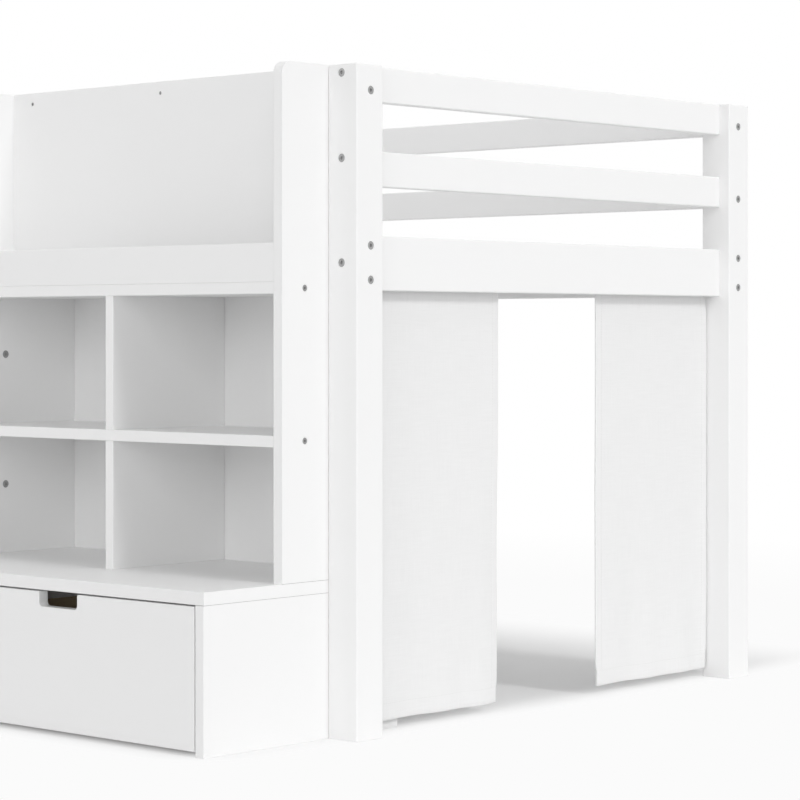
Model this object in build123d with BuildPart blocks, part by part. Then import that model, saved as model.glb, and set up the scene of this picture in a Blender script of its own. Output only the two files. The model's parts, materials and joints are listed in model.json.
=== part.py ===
"""Twin loft bed with a storage base, cubbies, an entry step, a desk and curtains.

The bed's length runs along X, its width along Y and its height along Z.
The origin is on the floor, under the middle of the whole piece of furniture.
All sizes are in millimetres.
"""
import os
from dataclasses import dataclass

from build123d import *

os.makedirs("parts", exist_ok=True)

# Bed frame
bed_length = 2000.0
bed_width = 1050.0
bed_height = 1040.0
post_size = 60.0
post_round = 2.5
rail_thickness = 20.0
rail_setback = 22.0
rail_round = 2.5
guard_rail_height = 55.0
side_rail_height = 85.0
side_rail_bottom = 692.0
ledger_height = 25.0
ledger_width = 20.0
ledger_rise = 15.0
slat_count = 14
slat_width = 65.0
slat_thickness = 18.0
slat_end_gap = 1.0
slat_margin = 40.0

# Boards of the storage units
board = 18.0
thin_panel = 6.0
guard_panel_thickness = 12.0
board_round = 1.2
top_corner_round = 18.0

# Storage base with two drawer bays
base_projection = 266.0
base_rear = 160.0
base_height = 245.0
base_top_board = 20.0
base_back_rise = 30.0
base_back_gap = 35.0

# Cubbies standing on the base
cubby_projection = 102.0
cubby_rear = 155.0
column_width = 364.0
shelf_rise = 225.0
rail_housing = 12.0
rail_clearance = 1.0
lip_height = 60.0

# Entry step and its uprights
step_width = 504.0
upright_width = 40.0
upright_depth = 60.0

# Desk
desk_drop = 92.0
desk_side_setback = 16.0
modesty_height = 240.0

# Drawers
drawer_floor_gap = 8.0
drawer_top_gap = 2.5
drawer_side_gap = 2.0
drawer_wall = 12.0
drawer_bottom_thickness = 6.0
drawer_bottom_rise = 6.0
drawer_groove = 5.0
drawer_box_lift = 40.0
drawer_box_top_gap = 49.0
drawer_back_gap = 14.0
notch_width = 90.0
notch_depth = 23.5
notch_round = 7.0

# Roller runners of the drawers
slide_gap = 12.5
runner_steel = 1.2
runner_front_gap = 2.0
runner_rear_gap = 6.0
runner_reach = 9.3
runner_foot = 11.0
lip_gap = 1.0
roller_diameter = 20.0
roller_play = 1.6
roller_clearance = 0.3
roller_side_play = 1.3
roller_inset = 13.0
roller_bore = 6.0
pin_clearance = 0.05
pin_head_diameter = 9.0
pin_head_thickness = 0.7
channel_start = 26.0

# Curtains on their rod
rod_diameter = 10.0
rod_inset = 50.0
rod_rise = 26.0
rod_socket_depth = 4.0
bracket_width = 14.0
bracket_height = 34.0
bracket_plate = 2.0
bracket_boss = 13.4
curtain_width = 326.0
curtain_end_gap = 0.5
curtain_floor_gap = 16.0
cloth = 1.6
pocket_play = 0.4
fold_count = 4
fold_depth = 3.0

# Fasteners
bolt_head = 13.0
bolt_head_depth = 4.0
bolt_shank = 6.0
bolt_socket = 5.0
bolt_socket_depth = 2.4
bolt_recess = 0.4
bolt_past_nut = 8.0
bolt_rise = 14.5
bolt_drop = 12.5
bolt_spread = 26.5
bore_clearance = 0.2
nut_diameter = 10.0
nut_length = 14.0
nut_inset = 30.0
nut_recess = 2.0
connector_length = 32.0
connector_height = 119.0
screw_head = 10.0
screw_shank = 5.0
screw_length = 45.0
screw_socket = 4.0
screw_setback = 50.0
screw_rear_setback = 45.0
panel_screw_head = 6.0
panel_screw_shank = 4.0
panel_screw_socket = 3.0
panel_screw_length = 28.0
panel_screw_drop = 19.0
panel_screw_pitch = 323.0

# Places along the length
end_x = bed_length / 2
post_x = end_x - post_size
cubby_right = (post_x - board, post_x)
cubby_inner = (cubby_right[0] - 2 * column_width - board, cubby_right[0])
cubby_left = (cubby_inner[0] - board, cubby_inner[0])
step = (cubby_left[0] - step_width, cubby_left[0])
upright_right = (step[1] - upright_width, step[1])
upright_left = (step[0], step[0] + upright_width)
desk = (-post_x, step[0])
base = (step[0], post_x)
bay_width = (base[1] - base[0] - 3 * board) / 2
bay_right = (base[1] - board - bay_width, base[1] - board)
bay_left = (base[0] + board, base[0] + board + bay_width)

# Places across the width, the whole depth centred on the origin
base_front = -(bed_width + base_projection) / 2
post_front = base_front + base_projection
bed_back = post_front + bed_width
rail_front = (post_front + rail_setback, post_front + rail_setback + rail_thickness)
rail_back = (bed_back - rail_setback - rail_thickness, bed_back - rail_setback)
base_y = (base_front, post_front + base_rear)
cubby_y = (post_front - cubby_projection, post_front + cubby_rear)
guard_panel_y = (rail_front[0] - guard_panel_thickness, rail_front[0])
upright_y = (rail_front[0] - upright_depth, rail_front[0])
post_centre_front = post_front + post_size / 2

# Heights
side_rail_top = side_rail_bottom + side_rail_height
rail_gap = (bed_height - 2 * guard_rail_height - side_rail_top) / 2
lower_level = (side_rail_bottom, side_rail_top)
middle_level = (side_rail_top + rail_gap, side_rail_top + rail_gap + guard_rail_height)
top_level = (bed_height - guard_rail_height, bed_height)
ledger_z = (side_rail_bottom + ledger_rise, side_rail_bottom + ledger_rise + ledger_height)
base_under = base_height - base_top_board
shelf_z = (base_height + shelf_rise - board, base_height + shelf_rise)
cubby_top_z = (side_rail_bottom + rail_housing - board, side_rail_bottom + rail_housing)
desk_z = (side_rail_bottom - desk_drop - board, side_rail_bottom - desk_drop)


def middle(limits):
    return (limits[0] + limits[1]) / 2


def size(limits):
    return limits[1] - limits[0]


@dataclass
class Rail:
    """A rail between two posts, or between a post and an upright that it is screwed to"""

    name: str
    along: str
    span: tuple
    thickness: tuple
    level: tuple
    inner: int
    bolt_heights: tuple
    bolted_ends: tuple = (-1, 1)

    def at(self, lengthwise, crosswise, height):
        if self.along == "X":
            return (lengthwise, crosswise, height)
        return (crosswise, lengthwise, height)

    def limits(self):
        return self.at(self.span, self.thickness, self.level)

    def bolts(self):
        """Planes of each bolt's head on the post and of its barrel nut's hole in the rail"""
        for end in self.bolted_ends:
            head_at = (self.span[0] - post_size) if end < 0 else (self.span[1] + post_size)
            nut_at = head_at - end * (post_size + nut_inset)
            inner_face = self.thickness[1] if self.inner > 0 else self.thickness[0]
            for height in self.bolt_heights:
                head = self.at(head_at, middle(self.thickness), height)
                nut = self.at(nut_at, inner_face, height)
                yield (
                    Plane(origin=head, z_dir=self.at(end, 0, 0)),
                    Plane(origin=nut, z_dir=self.at(0, self.inner, 0), x_dir=self.at(1, 0, 0)),
                )


@dataclass
class Fastener:
    """A socket-head fastener, by the plane of its head's seat surface"""

    head: Plane
    length: float
    shank: float
    head_diameter: float
    socket: float

    def enters(self, limits):
        tip = self.head.origin - self.head.z_dir * self.length
        ends = zip(self.head.origin, tip, limits)
        return all(min(a, b) < high and max(a, b) > low for a, b, (low, high) in ends)


def rail_bolt_heights(level, along):
    """Bolts in the long rails sit lower than those in the end rails, so that they pass in the post"""
    if level == lower_level:
        spread = bolt_spread if along == "X" else 0
        return (middle(level) - spread, middle(level) + spread) if spread else (middle(level),)
    return (middle(level) - bolt_drop,) if along == "X" else (middle(level) + bolt_rise,)


def make_rails():
    rails = []
    end_span = (post_front + post_size, bed_back - post_size)
    levels = {"top": top_level, "middle": middle_level, "lower": lower_level}
    for end, side in (("right", 1), ("left", -1)):
        outer = side * (end_x - rail_setback)
        thickness = tuple(sorted((outer, outer - side * rail_thickness)))
        for height, level in levels.items():
            name = f"{end}_end_rail_{height}"
            bolts = rail_bolt_heights(level, "Y")
            rails.append(Rail(name, "Y", end_span, thickness, level, -side, bolts))
    long_span = (-post_x, post_x)
    right_guard = (upright_right[0], post_x)
    left_guard = (-post_x, upright_left[1])
    long_rails = (
        ("front_side_rail", long_span, rail_front, lower_level, 1, (-1, 1)),
        ("back_side_rail", long_span, rail_back, lower_level, -1, (-1, 1)),
        ("back_guard_rail_top", long_span, rail_back, top_level, -1, (-1, 1)),
        ("back_guard_rail_middle", long_span, rail_back, middle_level, -1, (-1, 1)),
        ("front_guard_rail_right", right_guard, rail_front, top_level, 1, (1,)),
        ("front_guard_rails_left", left_guard, rail_front, top_level, 1, (-1,)),
        ("front_guard_rails_left", left_guard, rail_front, middle_level, 1, (-1,)),
    )
    for name, span, thickness, level, inner, ends in long_rails:
        bolts = rail_bolt_heights(level, "X")
        rails.append(Rail(name, "X", span, thickness, level, inner, bolts, ends))
    return rails


rails = make_rails()
bolt_length = post_size + nut_inset + bolt_past_nut
bed_bolts = [
    Fastener(head, bolt_length, bolt_shank, bolt_head, bolt_socket)
    for rail in rails
    for head, nut in rail.bolts()
]
nut_planes = [nut for rail in rails for head, nut in rail.bolts()]


def make_connectors():
    """Bolts that join the storage units to the posts, the upright and each other"""
    heights = (base_height + connector_height, shelf_z[1] + connector_height)
    places = [(cubby_inner[0], middle(upright_y), z, 1) for z in heights]
    places += [(cubby_inner[1], post_centre_front, z, -1) for z in heights]
    places += [(bay_right[1], post_centre_front, base_under / 2, -1)]
    desk_inside = (desk[0] + board, desk[1] - board)
    desk_heights = (desk_z[0] / 4, 3 * desk_z[0] / 4)
    places += [(desk_inside[0], post_centre_front, z, 1) for z in desk_heights]
    places += [(desk_inside[1], y, base_under / 2, -1) for y in (cubby_y[0], post_centre_front)]
    planes = [Plane(origin=(x, y, z), z_dir=(facing, 0, 0)) for x, y, z, facing in places]
    return [Fastener(plane, connector_length, bolt_shank, bolt_head, bolt_socket) for plane in planes]


def make_screws():
    """Screws through the tall panels into the shelf and top, and through the rails into the uprights"""
    planes = []
    for y in (cubby_y[0] + screw_setback, cubby_y[1] - screw_rear_setback):
        for z in (middle(shelf_z), middle(cubby_top_z)):
            planes.append(Plane(origin=(cubby_right[1], y, z), z_dir=(1, 0, 0)))
            planes.append(Plane(origin=(cubby_left[0], y, z), z_dir=(-1, 0, 0)))
    inside = rail_front[1]
    for x in (middle(upright_right), middle(upright_left)):
        for level in (lower_level, top_level):
            planes.append(Plane(origin=(x, inside, middle(level)), z_dir=(0, 1, 0)))
    planes.append(Plane(origin=(middle(upright_left), inside, middle(middle_level)), z_dir=(0, 1, 0)))
    return [Fastener(plane, screw_length, screw_shank, screw_head, screw_socket) for plane in planes]


def make_panel_screws():
    """Small screws that hold the guard panel to the front guard rail"""
    z = bed_height - panel_screw_drop
    places = [middle(cubby_inner) + offset * panel_screw_pitch for offset in (-1, 0, 1)]
    planes = [Plane(origin=(x, guard_panel_y[0], z), z_dir=(0, -1, 0)) for x in places]
    return [
        Fastener(plane, panel_screw_length, panel_screw_shank, panel_screw_head, panel_screw_socket)
        for plane in planes
    ]


connectors = make_connectors()
screws = make_screws()
panel_screws = make_panel_screws()
fasteners = bed_bolts + connectors + screws + panel_screws


def drill(limits):
    """Bore the open part for every fastener that enters the given box"""
    for item in fasteners:
        if item.enters(limits):
            with Locations(item.head):
                CounterBoreHole(
                    item.shank / 2 + bore_clearance,
                    item.head_diameter / 2 + bore_clearance,
                    bolt_head_depth + bolt_recess,
                    depth=item.length + bolt_recess,
                )


def save(piece, name):
    piece.part.label = name
    export_step(piece.part, f"parts/{name}.step")


def plain_board(x, y, z, rounded=None, radius=board_round):
    """A board between limits on each axis, its edges along one axis eased, bored for its fasteners"""
    with BuildPart() as piece:
        with Locations((middle(x), middle(y), middle(z))):
            Box(size(x), size(y), size(z))
        if rounded is not None:
            fillet(piece.edges().filter_by(rounded), radius)
        drill((x, y, z))
    return piece


def make_posts():
    for depth_name, y in (("front", post_front), ("back", bed_back - post_size)):
        for side_name, x in (("left", -end_x), ("right", post_x)):
            limits = ((x, x + post_size), (y, y + post_size), (0, bed_height))
            with BuildPart() as post:
                with BuildSketch():
                    with Locations((middle(limits[0]), middle(limits[1]))):
                        RectangleRounded(post_size, post_size, post_round)
                extrude(amount=bed_height)
                fillet(post.faces().sort_by(Axis.Z)[-1].edges(), post_round)
                drill(limits)
            save(post, f"post_{depth_name}_{side_name}")


def bored_rail(rail):
    """A rail with its long edges eased, bored for its bolts and for their barrel nuts"""
    lengthwise = Axis.X if rail.along == "X" else Axis.Y
    with BuildPart() as piece:
        add(plain_board(*rail.limits(), lengthwise, rail_round).part)
        with Locations(*(nut for head, nut in rail.bolts())):
            Hole(nut_diameter / 2 + bore_clearance, depth=nut_recess + nut_length)
    return piece.part


def make_rail_pieces():
    for name in dict.fromkeys(rail.name for rail in rails):
        with BuildPart() as piece:
            for rail in rails:
                if rail.name == name:
                    add(bored_rail(rail))
        save(piece, name)


def make_slat_deck():
    with BuildPart() as ledgers:
        for y in (rail_front[1], rail_back[0] - ledger_width):
            add(plain_board((-post_x, post_x), (y, y + ledger_width), ledger_z).part)
    save(ledgers, "slat_ledgers")
    pitch = (2 * (post_x - slat_margin) - slat_width) / (slat_count - 1)
    deck = (rail_front[1] + slat_end_gap, rail_back[0] - slat_end_gap)
    with BuildPart() as slats:
        with BuildSketch(Plane.XY.offset(ledger_z[1])):
            with Locations((0, middle(deck))):
                with GridLocations(pitch, 0, slat_count, 1):
                    Rectangle(slat_width, size(deck))
        extrude(amount=slat_thickness)
        fillet(slats.faces().group_by(Axis.Z)[-1].edges().filter_by(Axis.Y), board_round)
    save(slats, "bed_slats")


def make_uprights():
    z = (shelf_z[1], bed_height)
    save(plain_board(upright_right, upright_y, z, Axis.Z, rail_round), "entry_upright_right")
    save(plain_board(upright_left, upright_y, z, Axis.Z, rail_round), "entry_upright_left")


def make_base():
    walls = (0, base_under)
    save(plain_board(base, base_y, (base_under, base_height), Axis.X), "base_top")
    bay_y = (base_y[0], base_y[1] - board)
    save(plain_board((bay_right[1], base[1]), base_y, walls, Axis.Z), "base_side_right")
    save(plain_board((base[0], bay_left[0]), base_y, walls, Axis.Z), "base_side_left")
    save(plain_board((bay_left[1], bay_right[0]), bay_y, walls, Axis.Z), "base_partition")
    back_y = (base_y[1] - board, base_y[1])
    back_z = (base_back_rise, base_under - base_back_gap)
    save(plain_board((bay_left[0], bay_right[1]), back_y, back_z), "base_back")


def make_cubby():
    housing = (rail_front[0] - rail_clearance, rail_front[1] + rail_clearance)
    housing_floor = side_rail_bottom - rail_clearance
    outline = (
        (cubby_y[0], base_height),
        (cubby_y[1], base_height),
        (cubby_y[1], cubby_top_z[1]),
        (housing[1], cubby_top_z[1]),
        (housing[1], housing_floor),
        (housing[0], housing_floor),
        (housing[0], bed_height),
        (cubby_y[0], bed_height),
    )
    for name, x in (("cubby_side_right", cubby_right), ("cubby_side_left", cubby_left)):
        with BuildPart() as side:
            with BuildSketch(Plane.YZ.offset(x[0])):
                with BuildLine():
                    Polyline(*outline, close=True)
                make_face()
            extrude(amount=board)
            top_front = side.edges().filter_by(Axis.X).group_by(Axis.Z)[-1].sort_by(Axis.Y)[0]
            fillet(top_front, top_corner_round)
            drill((x, cubby_y, (base_height, bed_height)))
        save(side, name)

    shelf_y = (cubby_y[0], cubby_y[1] - thin_panel)
    divider_x = (cubby_inner[0] + column_width, cubby_inner[0] + column_width + board)
    with BuildPart() as shelf:
        add(plain_board(cubby_inner, shelf_y, shelf_z, Axis.X).part)
        with Locations((middle(divider_x), shelf_y[1], middle(shelf_z))):
            Box(board, size(shelf_y), board, mode=Mode.SUBTRACT)
    save(shelf, "cubby_shelf")
    with BuildPart() as divider:
        add(plain_board(divider_x, shelf_y, (base_height, cubby_top_z[0]), Axis.Z).part)
        with Locations((middle(divider_x), shelf_y[0], middle(shelf_z))):
            Box(board, size(shelf_y), board, mode=Mode.SUBTRACT)
    save(divider, "cubby_divider")
    with BuildPart() as top:
        add(plain_board(cubby_inner, shelf_y, cubby_top_z, Axis.X).part)
        housing_depth = cubby_top_z[1] - housing_floor
        with Locations((middle(cubby_inner), middle(housing), cubby_top_z[1] - housing_depth / 2)):
            Box(size(cubby_inner), size(housing), housing_depth, mode=Mode.SUBTRACT)
    save(top, "cubby_top")
    lip_z = (cubby_top_z[1], cubby_top_z[1] + lip_height)
    save(plain_board(cubby_inner, (cubby_y[0], cubby_y[0] + board), lip_z, Axis.X), "cubby_lip")
    back_y = (shelf_y[1], cubby_y[1])
    save(plain_board(cubby_inner, back_y, (base_height, cubby_top_z[1])), "cubby_back")
    panel_z = (cubby_top_z[1], bed_height)
    save(plain_board(cubby_inner, guard_panel_y, panel_z, Axis.X), "guard_panel")


def make_step():
    save(plain_board(step, cubby_y, shelf_z, Axis.X), "step_tread")
    z = (base_height, shelf_z[0])
    with BuildPart() as sides:
        for x in ((step[0], step[0] + board), (step[1] - board, step[1])):
            add(plain_board(x, cubby_y, z, Axis.Z).part)
    save(sides, "step_sides")


def make_desk():
    desk_y = (base_y[0], cubby_y[1])
    save(plain_board(desk, desk_y, desk_z, Axis.X), "desk_top")
    side_y = (desk_y[0] + desk_side_setback, desk_y[1])
    with BuildPart() as sides:
        for x in ((desk[0], desk[0] + board), (desk[1] - board, desk[1])):
            add(plain_board(x, side_y, (0, desk_z[0]), Axis.Z).part)
    save(sides, "desk_sides")
    modesty_z = (desk_z[0] - modesty_height, desk_z[0])
    modesty_x = (desk[0] + board, desk[1] - board)
    save(plain_board(modesty_x, (desk_y[1] - board, desk_y[1]), modesty_z, Axis.X), "desk_modesty_panel")


# Drawer places that the box and its runners share
front_y = (base_y[0], base_y[0] + board)
box_y = (front_y[1], base_y[1] - board - drawer_back_gap)
box_z = (drawer_box_lift, base_under - drawer_box_top_gap)
bottom_z = (box_z[0] + drawer_bottom_rise, box_z[0] + drawer_bottom_rise + drawer_bottom_thickness)


def make_drawer(name, bay):
    front_x = (bay[0] + drawer_side_gap, bay[1] - drawer_side_gap)
    front_z = (drawer_floor_gap, base_under - drawer_top_gap)
    box_x = (bay[0] + slide_gap, bay[1] - slide_gap)
    inner_x = (box_x[0] + drawer_wall, box_x[1] - drawer_wall)
    inner_y = (box_y[0], box_y[1] - drawer_wall)
    bottom_x = (inner_x[0] - drawer_groove, inner_x[1] + drawer_groove)
    bottom_y = (box_y[0] - drawer_groove, inner_y[1] + drawer_groove)
    bottom = plain_board(bottom_x, bottom_y, bottom_z)

    with BuildPart() as front:
        add(plain_board(front_x, front_y, front_z, Axis.X).part)
        with BuildSketch(Plane.XZ.offset(-front_y[0])):
            with Locations((middle(front_x), front_z[1])):
                RectangleRounded(notch_width, 2 * notch_depth, notch_round)
        extrude(amount=-board, mode=Mode.SUBTRACT)
        add(bottom.part, mode=Mode.SUBTRACT)
    save(front, f"{name}_front")
    with BuildPart() as sides:
        for x in ((box_x[0], inner_x[0]), (inner_x[1], box_x[1])):
            add(plain_board(x, box_y, box_z).part)
        add(bottom.part, mode=Mode.SUBTRACT)
    save(sides, f"{name}_sides")
    with BuildPart() as back:
        add(plain_board(inner_x, (inner_y[1], box_y[1]), box_z).part)
        add(bottom.part, mode=Mode.SUBTRACT)
    save(back, f"{name}_back")
    save(bottom, f"{name}_bottom")


# Runner sections, measured from the bay's wall and from the channel's underside
runner_y = (front_y[1] + runner_front_gap, box_y[1] - runner_rear_gap)
runner_z = drawer_box_lift
channel_height = roller_diameter + 2 * runner_steel + roller_play
lip_z = (channel_height + lip_gap, channel_height + lip_gap + runner_steel)
roller_x = (runner_steel + roller_side_play, slide_gap - runner_steel - roller_side_play)
cabinet_roller_at = (runner_y[0] + roller_inset, runner_z + lip_z[0] - roller_clearance - roller_diameter / 2)
drawer_roller_at = (
    runner_y[1] - roller_inset,
    runner_z + runner_steel + roller_clearance + roller_diameter / 2,
)


def wall_plane(bay, side, y, z):
    """A plane on a bay's wall: its local Z points into the bay, its local Y points up"""
    x = bay[1] if side > 0 else bay[0]
    return Plane(origin=(x, y, z), x_dir=(0, -side, 0), z_dir=(-side, 0, 0))


def section_plane(bay, side, y):
    """A cross-section plane: its local X runs from a bay's wall into the bay, its local Y up"""
    x = bay[1] if side > 0 else bay[0]
    return Plane(origin=(x, y, runner_z), x_dir=(-side, 0, 0), z_dir=(0, side, 0))


def roller_pin(plane, start, end, head):
    """A pin between two distances from the wall, with its rivet head beyond the roller"""
    with BuildPart() as pin:
        with BuildSketch(plane.offset(start)):
            Circle(roller_bore / 2)
        extrude(amount=end - start)
        with BuildSketch(plane.offset(end)):
            Circle(pin_head_diameter / 2)
        extrude(amount=head)
    return pin.part


def make_cabinet_runners():
    with BuildPart() as runners:
        for bay in (bay_right, bay_left):
            for side in (1, -1):
                length = size(runner_y)
                with BuildSketch(section_plane(bay, side, runner_y[0])):
                    Rectangle(runner_steel, channel_height, align=(Align.MIN, Align.MIN))
                extrude(amount=side * length)
                with BuildSketch(section_plane(bay, side, runner_y[0] + channel_start)):
                    for height in (0, channel_height - runner_steel):
                        with Locations((runner_steel, height)):
                            Rectangle(runner_reach, runner_steel, align=(Align.MIN, Align.MIN))
                extrude(amount=side * (length - channel_start))
                pin_wall = wall_plane(bay, side, *cabinet_roller_at)
                pin_end = roller_x[1] + roller_clearance
                add(roller_pin(pin_wall, runner_steel, pin_end, pin_head_thickness))
    save(runners, "cabinet_runners")


def make_drawer_runners(name, bay):
    web = (slide_gap - runner_steel, slide_gap)
    with BuildPart() as runners:
        for side in (1, -1):
            with BuildSketch(section_plane(bay, side, runner_y[0])):
                with BuildLine():
                    Polyline(
                        (roller_x[0], lip_z[0]),
                        (web[0], lip_z[0]),
                        (web[0], -runner_steel),
                        (web[1] + runner_foot, -runner_steel),
                        (web[1] + runner_foot, 0),
                        (web[1], 0),
                        (web[1], lip_z[1]),
                        (roller_x[0], lip_z[1]),
                        close=True,
                    )
                make_face()
            extrude(amount=side * size(runner_y))
            pin_wall = wall_plane(bay, side, *drawer_roller_at)
            pin_end = roller_x[0] - roller_clearance
            add(roller_pin(pin_wall, web[0], pin_end, -pin_head_thickness))
    save(runners, f"{name}_runners")


def make_rollers(name, bay, centre):
    """The pair of nylon rollers on one axle line, one at each side of a bay"""
    with BuildPart() as rollers:
        for side in (1, -1):
            plane = wall_plane(bay, side, *centre)
            with BuildSketch(plane.offset(roller_x[0])):
                Circle(roller_diameter / 2)
                Circle(roller_bore / 2 + pin_clearance, mode=Mode.SUBTRACT)
            extrude(amount=size(roller_x))
    save(rollers, name)


# Curtain rod behind the right end's lower rail
rod_x = end_x - rod_inset
rod_z = side_rail_bottom + rod_rise
rod_y = (post_front + post_size, bed_back - post_size)
socket_reach = bracket_plate + rod_socket_depth
pocket_bore = rod_diameter / 2 + pocket_play
curtain_top = rod_z - pocket_bore - cloth / 2


def make_rod():
    with BuildPart() as rod:
        with BuildSketch(Plane.XZ.offset(-(rod_y[0] + bracket_plate))):
            with Locations((rod_x, rod_z)):
                Circle(rod_diameter / 2)
        extrude(amount=-(size(rod_y) - 2 * bracket_plate))
    save(rod, "curtain_rod")
    with BuildPart() as brackets:
        for y, facing in ((rod_y[0], -1), (rod_y[1], 1)):
            with BuildSketch(Plane.XZ.offset(-y)):
                with Locations((rod_x, rod_z)):
                    RectangleRounded(bracket_width, bracket_height, post_round)
            extrude(amount=facing * bracket_plate)
            with BuildSketch(Plane.XZ.offset(-y + facing * bracket_plate)):
                with Locations((rod_x, rod_z)):
                    Circle(bracket_boss / 2)
                    Circle(rod_diameter / 2 + pin_clearance, mode=Mode.SUBTRACT)
            extrude(amount=facing * rod_socket_depth)
    save(brackets, "rod_brackets")


def fold_section(y, z, depth):
    """One level of a curtain: shallow folds as arcs, side by side, with the cloth's thickness"""
    step_y = size(y) / (2 * fold_count)
    front = rod_x + cloth / 2
    back = rod_x - cloth / 2
    with BuildSketch(Plane.XY.offset(z)) as section:
        with BuildLine():
            for fold in range(2 * fold_count):
                start = y[0] + fold * step_y
                swell = depth if fold % 2 else -depth
                SagittaArc((front, start), (front, start + step_y), swell)
                SagittaArc((back, start), (back, start + step_y), swell)
            Line((front, y[0]), (back, y[0]))
            Line((front, y[1]), (back, y[1]))
        make_face()
    return section.sketch


def make_curtain(name, y):
    levels = ((curtain_floor_gap, fold_depth), (rod_z / 2, fold_depth / 2), (curtain_top, fold_depth / 6))
    sections = [fold_section(y, z, depth).face() for z, depth in levels]
    with BuildPart() as curtain:
        loft(sections, ruled=True)
        with BuildSketch(Plane.XZ.offset(-y[0])):
            with Locations((rod_x, rod_z)):
                Circle(pocket_bore + cloth)
                Circle(pocket_bore, mode=Mode.SUBTRACT)
        extrude(amount=-size(y))
    save(curtain, name)


def fastener_shape(item):
    """A socket-head fastener, its head's top at the origin and its shank pointing down"""
    with BuildPart() as shape:
        with BuildSketch():
            Circle(item.head_diameter / 2)
        extrude(amount=-bolt_head_depth)
        with BuildSketch(Plane.XY.offset(-bolt_head_depth)):
            Circle(item.shank / 2)
        extrude(amount=bolt_head_depth - item.length)
        with BuildSketch():
            RegularPolygon(item.socket / 2, 6, major_radius=False)
        extrude(amount=-bolt_socket_depth, mode=Mode.SUBTRACT)
    return shape.part


def make_fasteners():
    groups = (
        ("socket_bolts", (bed_bolts, connectors)),
        ("unit_screws", (screws, panel_screws)),
    )
    for name, families in groups:
        with BuildPart() as group:
            for items in families:
                shape = fastener_shape(items[0])
                with Locations(*(item.head.offset(-bolt_recess) for item in items)):
                    add(shape)
        save(group, name)
    with BuildPart() as nut:
        with BuildSketch():
            Circle(nut_diameter / 2)
        extrude(amount=-nut_length)
        with Locations((0, 0, -(middle((0, rail_thickness)) - nut_recess))):
            Cylinder(bolt_shank / 2 + bore_clearance, nut_diameter, rotation=(0, 90, 0), mode=Mode.SUBTRACT)
    with BuildPart() as nuts:
        with Locations(*(plane.offset(-nut_recess) for plane in nut_planes)):
            add(nut.part)
    save(nuts, "barrel_nuts")


make_posts()
make_rail_pieces()
make_slat_deck()
make_uprights()
make_base()
make_cubby()
make_step()
make_desk()
make_cabinet_runners()
for drawer_name, drawer_bay in (("drawer_right", bay_right), ("drawer_left", bay_left)):
    make_drawer(drawer_name, drawer_bay)
    make_drawer_runners(drawer_name, drawer_bay)
    make_rollers(f"{drawer_name}_rollers", drawer_bay, drawer_roller_at)
    make_rollers(f"{drawer_name}_cabinet_rollers", drawer_bay, cabinet_roller_at)
make_rod()
curtain_front_y = rod_y[0] + socket_reach + curtain_end_gap
curtain_back_y = rod_y[1] - socket_reach - curtain_end_gap
make_curtain("curtain_front", (curtain_front_y, curtain_front_y + curtain_width))
make_curtain("curtain_back", (curtain_back_y - curtain_width, curtain_back_y))
make_fasteners()
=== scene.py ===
"""Finishes, curtains, small screws and studio for a white twin loft bed with storage."""
import json
import math

import bmesh
import bpy
from bpy.props import FloatProperty, FloatVectorProperty, IntProperty, PointerProperty
from mathutils import Matrix, Vector, noise


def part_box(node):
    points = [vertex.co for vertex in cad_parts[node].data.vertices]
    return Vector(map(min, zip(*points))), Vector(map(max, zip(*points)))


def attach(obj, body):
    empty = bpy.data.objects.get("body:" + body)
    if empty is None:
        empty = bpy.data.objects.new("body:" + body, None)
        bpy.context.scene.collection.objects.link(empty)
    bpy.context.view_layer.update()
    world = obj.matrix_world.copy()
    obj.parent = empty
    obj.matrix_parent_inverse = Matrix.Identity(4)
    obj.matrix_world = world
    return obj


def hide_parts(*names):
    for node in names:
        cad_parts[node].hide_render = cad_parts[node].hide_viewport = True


bl_info = {
    "name": "Loft bed dressing",
    "version": (1, 0, 0),
    "blender": (4, 5, 0),
    "location": "View3D > Sidebar > Loft bed",
    "description": "Paints the loft bed, hangs its curtains and sets up its studio",
    "category": "Object",
}

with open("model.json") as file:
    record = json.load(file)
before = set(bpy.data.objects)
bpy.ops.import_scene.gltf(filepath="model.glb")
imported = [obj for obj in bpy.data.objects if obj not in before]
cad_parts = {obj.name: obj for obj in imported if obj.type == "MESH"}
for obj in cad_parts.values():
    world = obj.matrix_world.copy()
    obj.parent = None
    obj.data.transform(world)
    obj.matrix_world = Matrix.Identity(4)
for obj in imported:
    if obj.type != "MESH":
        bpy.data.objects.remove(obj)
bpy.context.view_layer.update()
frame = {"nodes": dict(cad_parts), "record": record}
NODES = frame["nodes"]
SLOT_OF = {part["node"]: part["material_slot"] for part in frame["record"]["subparts"]}
MM = 0.001
WHITE = (1.0, 1.0, 1.0, 1.0)


# Settings that a user can change


def colour(name, description, default):
    return FloatVectorProperty(
        name=name, description=description, default=default, subtype="COLOR", min=0.0, max=1.0
    )


def length(name, description, default):
    return FloatProperty(name=name, description=description, default=default, min=0.0, unit="LENGTH")


def amount(name, description, default, highest=1.0):
    return FloatProperty(name=name, description=description, default=default, min=0.0, max=highest)


def brightness(name, description, default):
    return amount(name, description, default, highest=10.0)


def angle(name, description, degrees):
    return FloatProperty(name=name, description=description, default=math.radians(degrees), subtype="ANGLE")


def vector(name, description, default):
    return FloatVectorProperty(name=name, description=description, default=default, subtype="TRANSLATION")


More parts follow.
